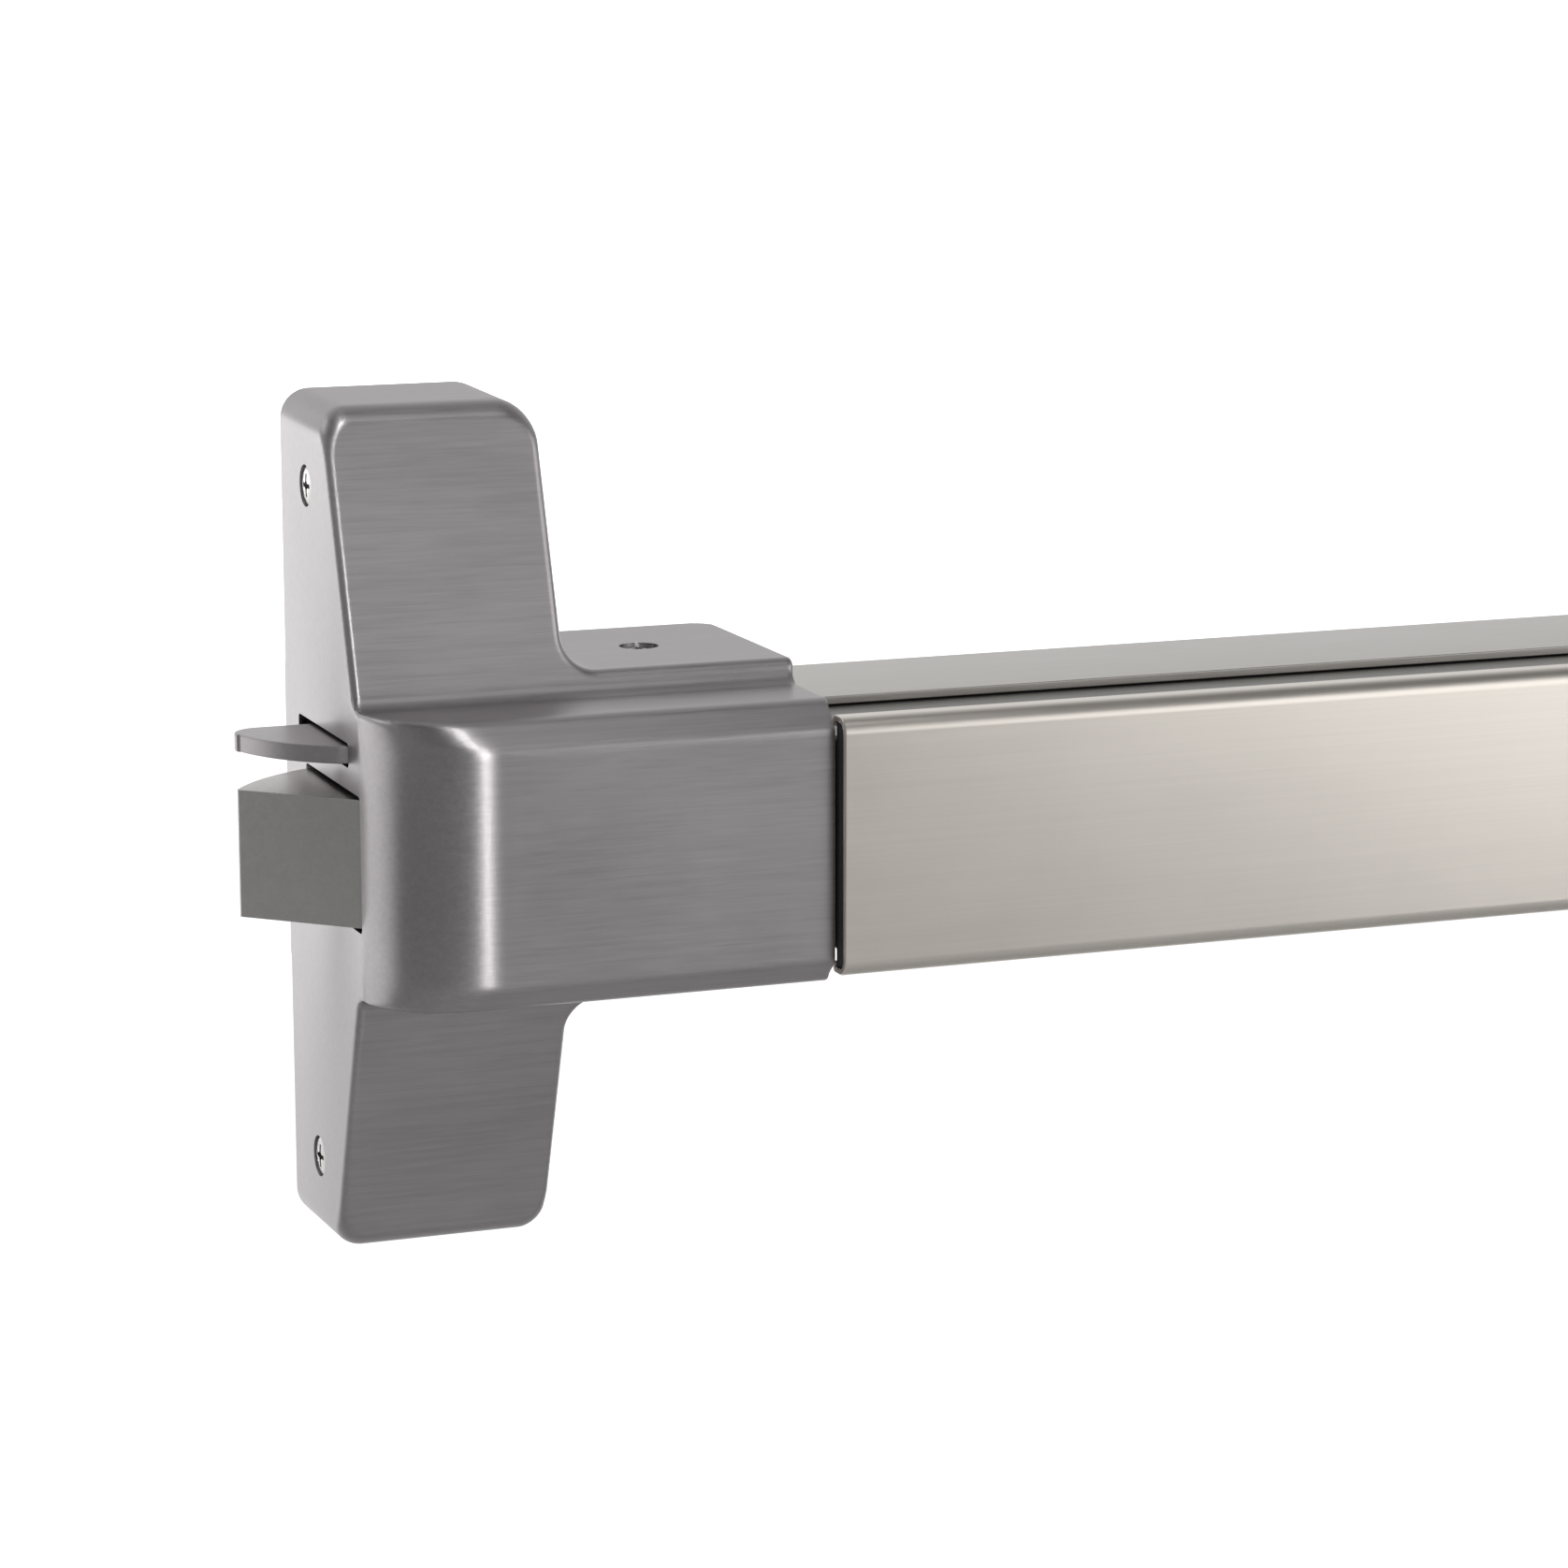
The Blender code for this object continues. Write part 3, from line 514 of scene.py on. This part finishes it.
def rubber(name, colour):
    """Moulded black rubber with a fine matt texture."""
    made = bpy.data.materials.new(name)
    made.use_nodes = True
    tree = made.node_tree
    shader = tree.nodes["Principled BSDF"]
    coords = tree.nodes.new("ShaderNodeTexCoord").outputs["Object"]
    fine = noise(tree, coords, (1500.0, 1500.0, 1500.0))
    tint = tree.nodes.new("ShaderNodeVectorMath")
    tint.operation = "SCALE"
    tint.inputs[0].default_value = colour
    tree.links.new(spread(tree, fine, 0.8, 1.3), tint.inputs["Scale"])
    tree.links.new(tint.outputs[0], shader.inputs["Base Color"])
    tree.links.new(spread(tree, fine, 0.6, 0.85), shader.inputs["Roughness"])
    relief = add_node(tree, "ShaderNodeBump", Strength=0.3, Distance=0.0001)
    tree.links.new(fine, relief.inputs["Height"])
    tree.links.new(relief.outputs["Normal"], shader.inputs["Normal"])
    return made


ALL_WAYS = (500.0, 500.0, 500.0)        # grain of cast and plated parts, and of plates ground lengthwise
GROUND = (300.0, 1500.0, 1500.0)
CAST = metal("brushed_cast", (0.395, 0.376, 0.385), 0.345, streaks=0.08, bump=0.08, anisotropy=0.7,
             uneven=0.03)
SATIN = metal("satin_stainless", (0.71, 0.667, 0.615), 0.30, grain=(14.0, 2600.0, 2600.0), streaks=0.025,
              clouds=0.02, bump=0.012, anisotropy=0.7, uneven=0.012)
RAIL = metal("rail_stainless", (0.47, 0.45, 0.428), 0.32, grain=(40.0, 2200.0, 2200.0), streaks=0.06,
             clouds=0.03, bump=0.05, anisotropy=0.5)
LEVER = metal("trigger_steel", (0.41, 0.385, 0.395), 0.36, grain=GROUND, streaks=0.04, clouds=0.02)
LATCH = metal("latch_steel", (0.57, 0.545, 0.54), 0.34, grain=GROUND, streaks=0.04, clouds=0.02)
ZINC = metal("zinc_plate", (0.55, 0.56, 0.57), 0.38, grain=ALL_WAYS, streaks=0.08)
STEEL = metal("screw_steel", (0.50, 0.49, 0.48), 0.26, grain=ALL_WAYS, streaks=0.06, wear=0.4)
WIRE = metal("spring_wire", (0.30, 0.30, 0.32), 0.32, grain=ALL_WAYS, streaks=0.10)
# Aluminium of the bar's carrier, its colour darkened far below bare aluminium: painted shade for the narrow
# gap between the rail and the bar's lip, where the carrier's top shows
SHADE_DARKENED_EXTRUSION = metal("aluminium_painted_shade", (0.22, 0.215, 0.205), 0.36, grain=(5.0, 900.0, 900.0), streaks=0.06,
                  anisotropy=0.4)
RUBBER = rubber("moulded_rubber", (0.03, 0.03, 0.03))


def hand_in(piece, material, body, *nodes):
    """Gives a piece its material and body, and hides the nodes it stands in for."""
    piece.data.materials.clear()
    piece.data.materials.append(material)
    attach(piece, body)
    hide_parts(*nodes)


# ---------------------------------------------------------------- head cover

def node_middle(name):
    low, high = node_box(name)
    return (low + high) / 2


head_low, head_high = node_box("head_cover")
HEAD_LEFT, HEAD_FRONT, BLOCK_RIGHT = head_low.x, head_low.y, head_high.x
HEAD_RIGHT = -HEAD_LEFT
HEAD_HALF = head_high.z
END_DRAFT = 0.024
BLOCK_HALF, FRONT_HALF, FACE_HALF = 38.6, 33.2, 27.4
CHAMFER_IN = 6.2
CORNER_RADIUS, END_CORNER = 27.0, 5.5
END_ROOM, SHOULDER_STEP = 0.3, 1.5
WALL = 2.2
SLOPE, SLOPE_Y, SLOPE_Z = 0.344, -38.6, 93.4        # the arms' front faces and a point on the upper one
SIDE_HOLE, TOP_HOLE = 4.9, 4.7
LATCH_SLOT = (-63.1, -17.6, -17.5, 14.2)            # Y and Z limits of the slots in the left side
LEVER_SLOT = (-54.6, -11.8, 19.3, 25.0)
SLOT_RADIUS = 1.2


def chamfer_depth(x, y):
    """How far the block's outline has moved back at a point, and how fast, from its left front corner.

    The left side stays where it is, and the rounded corner's radius shrinks as the front moves back.
    """
    safe = np.maximum(x, 0.3)
    behind = np.minimum(y - CORNER_RADIUS, 0.0)
    in_corner = CORNER_RADIUS - (safe ** 2 + behind ** 2) / (2 * safe)
    steep = np.where(x + y < CORNER_RADIUS, (1 + (behind / safe) ** 2) / 2, 1.0)
    return np.where(x + y < CORNER_RADIUS, in_corner, y), steep


def head_field(x, y, z):
    """Distance to the outside of the head: sloped arms, shoulder and front block."""
    up = np.abs(z)
    left = HEAD_LEFT - x
    end = up - (HEAD_HALF + END_DRAFT * y)
    arm = soft_and(x - HEAD_RIGHT, end, np.where(z > 0, 9.0, 6.0))
    cross = soft_and(soft_or(arm, up - BLOCK_HALF, 8.0), left, 7.0)
    front = (SLOPE_Y - SLOPE * (SLOPE_Z - up) - y) / math.hypot(1.0, SLOPE)
    edge_radius = 1.9 + 2.6 * smooth_step(up, HEAD_HALF - 12.0, HEAD_HALF - 2.0)
    back = soft_and(front, cross, edge_radius)
    depth, steep = chamfer_depth(x - HEAD_LEFT, y - HEAD_FRONT)
    fall = (FRONT_HALF - FACE_HALF) / CHAMFER_IN
    chamfer = (up - FACE_HALF - fall * depth) / np.sqrt(1.0 + (fall * steep) ** 2)
    plan = soft_and(left, HEAD_FRONT - y, CORNER_RADIUS)
    block = soft_and(plan, soft_and(up - FRONT_HALF, chamfer, 1.2), 0.8)
    right = x - BLOCK_RIGHT - END_ROOM - SHOULDER_STEP * smooth_step(up, FRONT_HALF - 2.9, BLOCK_HALF - 1.0)
    end_plan = soft_and(right, y, END_CORNER)
    shoulder = soft_and(back, end_plan, 1.0)
    whole = np.maximum(soft_or(shoulder, block, 3.4), plan)
    return np.maximum(soft_and(whole, right, 0.4), y - 2.0)


def arm_hollow():
    """Room inside both arms, seen from the side."""
    upper = [(6.0, 97.8), (-30.0, 97.2), (-35.5, 92.5), (-54.0, 38.0)]
    outline = upper + [(y, -z) for y, z in reversed(upper)]
    return prism("arm_hollow", outline, "X", HEAD_LEFT + WALL, HEAD_RIGHT - WALL)


def plan_hollow(name, front, half):
    """Room inside the block, with the rounded corner, up to one height above and below."""
    right = BLOCK_RIGHT - WALL
    corners = [
        (HEAD_LEFT + WALL, front), (right, front), (right, -END_CORNER), (right - 1.5 * END_CORNER, 5.0),
        (HEAD_LEFT + WALL, 5.0),
    ]
    radius = CORNER_RADIUS - WALL - (front - WALL - HEAD_FRONT)
    return prism(name, rounded(corners, [max(radius, 4.0), 0, 0, 0, 0]), "Z", -half, half)


def shell_cutters():
    """What is taken out of the solid head: its inside, the rail's way, two slots and four screw holes."""
    left, right = HEAD_LEFT, BLOCK_RIGHT
    rail_half, rail_front, rod_half, rod_front, hollow_front = 27.2, -46.8, 22.0, -55.0, -54.0
    lower = [(2.0, -rail_half), (rail_front, -rail_half), (rail_front, -rod_half), (rod_front, -rod_half)]
    rail_way = lower + [(y, -z) for y, z in reversed(lower)]
    cutters = [
        prism("behind", rectangle(left - 9, right + 9, 0.0, 9.0), "Z", -120.0, 120.0),
        arm_hollow(),
        plan_hollow("face_hollow", HEAD_FRONT + WALL, FACE_HALF - 1.6),
        plan_hollow("chamfer_hollow", HEAD_FRONT + CHAMFER_IN + 1.6, FRONT_HALF - WALL),
        plan_hollow("shoulder_hollow", hollow_front, BLOCK_HALF - WALL),
        prism("rail_way", rail_way, "X", 62.0, right + 2),
        prism("latch_slot", rectangle(*LATCH_SLOT, SLOT_RADIUS), "X", left - 2, left + 5),
        prism("lever_slot", rectangle(*LEVER_SLOT, SLOT_RADIUS), "X", left - 2, left + 5),
    ]
    side_screw, top_screw = node_middle("cover_screw_side_upper"), node_middle("cover_screw_top")
    for side in (-1, 1):
        hole = circle(side_screw.y, side * side_screw.z, SIDE_HOLE)
        cutters.append(prism("side_hole", hole, "X", left - 1, left + 3))
        low, high = sorted((side * (BLOCK_HALF - 3), side * (BLOCK_HALF + 1)))
        cutters.append(prism("top_hole", circle(top_screw.x, top_screw.y, TOP_HOLE), "Z", low, high))
    return cutters


def head_cover():
    """The cover, on a grid that is finer near its edges."""
    coarse, fine, near = 2.0, 0.7, 4.5
    side_bands = [(-27.0, -10.0), (18.0, 27.0), (72.0, 83.0)]
    depth_bands = [(HEAD_FRONT - 1, -80.0), (-64.0, -33.0), (-10.0, 1.0)]
    edges = [side * height for side in (-1, 1) for height in (29.0, 36.0, 97.0)]
    height_bands = [(edge - near, edge + near) for edge in edges]
    cover = surface_of("head_cover_shell", head_field, (
        graded(HEAD_LEFT, BLOCK_RIGHT + SHOULDER_STEP + END_ROOM, 1.9, fine, side_bands),
        graded(HEAD_FRONT, 2.5, coarse, fine, depth_bands),
        graded(-HEAD_HALF, HEAD_HALF, coarse, fine, height_bands),
    ))
    cut(cover, *shell_cutters())
    shade(cover, 55.0)
    hand_in(cover, CAST, "frame", "head_cover")


head_cover()


# ---------------------------------------------------------------- screws

SHANK_RADIUS = 1.8
SCREWS = {      # the axis of each screw, and which way along it the head faces
    "cover_screw_side_upper": ("X", -1), "cover_screw_side_lower": ("X", -1),
    "cover_screw_top": ("Z", 1), "cover_screw_bottom": ("Z", -1),
    "end_cap_screw_top": ("Z", 1), "end_cap_screw_bottom": ("Z", -1),
}


def screw(node, axis, facing):
    """Cross-recess screw with an oval head, its place, radius and length taken from the CAD node."""
    low, high = node_box(node)
    centre = (low + high) / 2
    u, v, w = {"X": (1, 2, 0), "Z": (0, 1, 2)}[axis]
    head_radius = (high[v] - low[v]) / 2
    head, tip = (high[w], low[w]) if facing > 0 else (low[w], high[w])
    crown, proud = (0.6, 0.35) if axis == "X" else (1.1, 0.0)
    head += proud * facing
    inward = -facing
    turns = [math.radians(90) * i / 8 for i in range(1, 9)]
    profile = [(0.05, head)]
    profile += [(head_radius * math.sin(a), head + inward * crown * (1 - math.cos(a))) for a in turns]
    profile += [
        (head_radius, head + 1.5 * inward), (SHANK_RADIUS + 0.5, head + 3.0 * inward),
        (SHANK_RADIUS, head + 3.2 * inward), (SHANK_RADIUS, tip - inward), (0.6 * SHANK_RADIUS, tip),
    ]
    made = turned(node + "_cross", profile, axis, centre[u], centre[v])
    arm, half = head_radius * 0.58, head_radius * 0.11
    span = sorted((head - 2 * inward, head + 1.8 * inward))
    bars = ((arm, half), (half, arm))
    outlines = [rectangle(centre[u] - a, centre[u] + a, centre[v] - b, centre[v] + b) for a, b in bars]
    outlines.append(circle(centre[u], centre[v], head_radius * 0.24, 20))
    cut(made, *[prism("recess", outline, axis, *span) for outline in outlines])
    shade(made)
    hand_in(made, STEEL, "frame", node)


for screw_name, (screw_axis, screw_facing) in SCREWS.items():
    screw(screw_name, screw_axis, screw_facing)


# ---------------------------------------------------------------- rail and push bar

def channel(half, web, mouth, wall, bend):
    """A U section with rounded bends, from its web to its open mouth, (Y, Z) pairs."""
    floor = web + math.copysign(wall, mouth - web)
    corners = [(web, -half), (mouth, -half), (mouth, -half + wall), (floor, -half + wall)]
    radii = [bend, 0.3, 0.3, max(bend - wall, 0.4)]
    return rounded(corners + [(y, -z) for y, z in reversed(corners)], radii + radii[::-1], 6)


def lengthwise(node, name, section, material, body, width=0.25, trim=0.0):
    """A section swept over the CAD node's own length, less a trim at both ends, its cut ends eased."""
    low, high = node_box(node)
    made = prism(name, section, "X", low.x + trim, high.x - trim)
    ease_edges(made, width, 2, 60.0)
    shade(made)
    hand_in(made, material, body, node)
    return made


SHEET, PLUG_PLATE = 2.0, 1.6
rail_low, rail_high = node_box("base_rail")
bar_low, bar_high = node_box("push_bar")
carrier_low, carrier_high = node_box("push_bar_carrier")
rail_section = channel(rail_high.z, 0.0, rail_low.y, SHEET, 2.4)
carrier_section = channel(carrier_high.z, carrier_low.y, carrier_high.y, SHEET, 1.6)
lengthwise("base_rail", "base_rail_channel", rail_section, RAIL, "frame")
# The carrier takes the darkened aluminium, whose colour holds painted shade for the gap it sits in
lengthwise(
    "push_bar_carrier", "push_bar_channel", carrier_section, SHADE_DARKENED_EXTRUSION, "push_bar", trim=PLUG_PLATE + 0.4,
)


def bar_section(skin=1.5, lip=2.6, bend=3.8):
    """The bar's pressed skin: a flat front, two round bends and lips turned in behind, (Y, Z) pairs."""
    half, front, back = bar_high.z, bar_low.y, bar_high.y
    corners = [(front, -half), (back, -half), (back, -half + lip), (back - skin, -half + lip),
               (back - skin, -half + skin), (front + skin, -half + skin)]
    radii = [bend, skin, 0.3, 0.3, 0.5, bend - skin]
    return rounded(corners + [(y, -z) for y, z in reversed(corners)], radii + radii[::-1], 10)


def bar_plug(node, x, inward):
    """Moulded plug in one end of the bar: a plate closing the skin and the carrier, and a body behind it."""
    low, high = node_box(node)
    inset = 1.7
    front, lip_back, back = bar_low.y + inset, bar_high.y - inset, carrier_high.y - 1.0
    wing, half = bar_high.z - inset, carrier_high.z
    step = [(front, -wing), (lip_back, -wing), (lip_back, -half), (back, -half)]
    radii = [1.8, 0.6, 0.4, 1.0]
    outline = rounded(step + [(y, -z) for y, z in reversed(step)], radii + radii[::-1], 6)
    ends = sorted((x + 0.25 * inward, x + PLUG_PLATE * inward))
    plate = prism(node + "_plate", outline, "X", *ends)
    body_ends = sorted((x + PLUG_PLATE * inward, x + 4.5 * inward))
    body = prism(node + "_body", rectangle(low.y, high.y, low.z, high.z, 1.5), "X", *body_ends)
    for piece in (plate, body):
        ease_edges(piece, 0.35, 2)
        shade(piece)
        hand_in(piece, RUBBER, "push_bar", node)


lengthwise("push_bar", "push_bar_skin", bar_section(), SATIN, "push_bar", 0.3)
bar_plug("push_bar_end_left", bar_low.x, 1)
bar_plug("push_bar_end_right", bar_high.x, -1)

# ---------------------------------------------------------------- latch and trigger

PIVOT = (-6.5, -63.0)
BORE_RADIUS, HUB_RADIUS, LEVER_HUB = 2.8, 4.2, 7.0
LATCH_LOW, LATCH_HIGH, BORE_TOP = -16.6, 13.1, 40.0
LATCH_REACH, BEVEL_OFFSET, BEVEL_ANGLE = 47.8, 11.4, 225.5
BEVEL_LENGTH, BEVEL_RELIEF = 28.0, 0.5
BAR_TRAVEL, TAIL_SWING = 14.5, math.radians(18.2)
TAIL_ARM = BAR_TRAVEL / 2 / math.sin(TAIL_SWING)


def latch_outline():
    """Plan of the latch: eased nose, curved back about the pin, hub end, bevel relieved within the head."""
    tip_angle = BEVEL_ANGLE - math.degrees(math.acos(BEVEL_OFFSET / LATCH_REACH))
    back = arc(*PIVOT, LATCH_REACH, tip_angle, 104.0, 48)
    hub = arc(*PIVOT, BEVEL_OFFSET - BEVEL_RELIEF, 14.0, BEVEL_ANGLE - 360.0, 24)
    bevel = math.radians(BEVEL_ANGLE)
    bevel_end = Vector(back[0]) + BEVEL_LENGTH * Vector((-math.sin(bevel), math.cos(bevel)))
    outline = back + hub + [tuple(bevel_end)]
    return rounded(outline, [0.8] + [0.0] * (len(outline) - 1), 5)


def lever_outline():
    """Plan of the trigger: rounded nose, curved front edge, hub end, straight back edge."""
    nose = arc(-38.6, -28.8, 6.6, 90, 190, 16)
    front = arc(-6.4, -18.7, 39.8, 197, 239, 24) + [(-22.6, -54.0)]
    back = [(-1.0, -45.0), (-8.0, -25.2), (-12.0, -22.2)]
    return nose + front + arc(*PIVOT, LEVER_HUB, 190, 350, 20) + back


def bored_plate(name, outline, low, high, bore_low, ease):
    """A flat plate that turns on the latch pin, its edges eased and its bore cut from well below."""
    plate = prism(name, outline, "Z", low, high)
    cut(plate, prism("bore", circle(*PIVOT, BORE_RADIUS), "Z", bore_low, BORE_TOP))
    ease_edges(plate, ease, 3)
    shade(plate)
    return plate


def latch_bolt():
    """The bolt, with its hub and the peg under it that the pull rod draws."""
    low, high = node_box("latch_bolt")
    bolt = bored_plate("latch_bolt_body", latch_outline(), LATCH_LOW, LATCH_HIGH, -BORE_TOP, 0.45)
    tube = [(BORE_RADIUS, low.z), (HUB_RADIUS, low.z), (HUB_RADIUS, high.z), (BORE_RADIUS, high.z)]
    hub = turned("latch_bolt_hub", tube, "Z", *PIVOT)
    peg_place = (PIVOT[0] - TAIL_ARM * math.sin(TAIL_SWING), PIVOT[1] + TAIL_ARM * math.cos(TAIL_SWING))
    peg = turned("latch_bolt_peg", [(1.6, -22.0), (1.9, -21.7), (1.9, -16.0)], "Z", *peg_place, 32)
    for piece in (hub, peg):
        shade(piece)
    for piece in (bolt, hub, peg):
        hand_in(piece, LATCH, "latch", "latch_bolt")


def deadlatch_lever():
    low, high = node_box("deadlatch_lever")
    lever = bored_plate("deadlatch_lever_plate", lever_outline(), low.z, high.z, 0.0, 0.5)
    hand_in(lever, LEVER, "deadlatch", "deadlatch_lever")


latch_bolt()
deadlatch_lever()


# ---------------------------------------------------------------- springs under the bar

def coil_spring(node, wire=0.7, radius=5.6, turns=5, per_turn=48, sides=12):
    """Round-wire coil between the rail floor and its seat, built at one length; the real spring closes up as
    the bar is pressed.
    """
    low, high = node_box(node)
    centre, length = (low + high) / 2, high.y - low.y
    count = turns * per_turn
    around = [math.tau * k / sides for k in range(sides)]
    bm = bmesh.new()
    rings = []
    for i in range(count + 1):
        angle = math.tau * i / per_turn
        out = Vector((math.cos(angle), 0.0, math.sin(angle)))
        along = low.y + wire + (length - 2 * wire) * i / count
        spine = Vector((centre.x, along, centre.z)) + radius * out
        offsets = [out * math.cos(a) + Vector((0, math.sin(a), 0)) for a in around]
        rings.append([bm.verts.new(spine + wire * offset) for offset in offsets])
    for first, second in zip(rings, rings[1:]):
        for i in range(sides):
            bm.faces.new((first[i - 1], first[i], second[i], second[i - 1]))
    bm.faces.new(rings[0])
    bm.faces.new(rings[-1])
    made = new_object(node + "_coil", bm)
    shade(made)
    hand_in(made, WIRE, "frame", node)
    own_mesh(made)


for label in ("left", "right"):
    coil_spring("return_spring_" + label)


# ---------------------------------------------------------------- the other parts, their edges eased

def refined(node, material, width):
    """A copy of a CAD node's mesh with flat faces joined, edges eased and round parts smooth."""
    bm = bmesh.new()
    bm.from_mesh(frame["nodes"][node].data)
    bmesh.ops.remove_doubles(bm, verts=bm.verts, dist=1e-6)
    bmesh.ops.dissolve_limit(bm, angle_limit=math.radians(1.0), verts=bm.verts, edges=bm.edges)
    mesh = bpy.data.meshes.new(node + "_fine")
    bm.to_mesh(mesh)
    bm.free()
    made = bpy.data.objects.new(node + "_fine", mesh)
    bpy.context.scene.collection.objects.link(made)
    if width:
        ease_edges(made, width, 2)
    shade(made)
    hand_in(made, material, body_of(frame["nodes"][node])[0], node)


SINGLE_NODES = {
    "head_chassis": (ZINC, 0.25), "latch_pin": (STEEL, 0.2), "deadlatch_spring": (WIRE, 0.0),
    "latch_spring": (WIRE, 0.0), "pull_rod": (ZINC, 0.2), "rail_cover": (RAIL, 0.3), "end_cap": (CAST, 0.4),
    "end_bracket": (ZINC, 0.25),
}
PAIRED_NODES = {
    ("left", "right"): {
        "bell_crank": (ZINC, 0.25), "crank_bracket": (ZINC, 0.3), "crank_pin": (STEEL, 0.2),
        "carrier_bracket": (ZINC, 0.3), "spring_post": (ZINC, 0.2), "stop_bumper": (RUBBER, 0.5),
    },
    ("upper", "lower"): {"rail_screw": (ZINC, 0.0), "end_rail_screw": (ZINC, 0.0)},
}
for node_name, (look, width) in SINGLE_NODES.items():
    refined(node_name, look, width)
for labels, pairs in PAIRED_NODES.items():
    for node_name, (look, width) in pairs.items():
        for label in labels:
            refined(node_name + "_" + label, look, width)
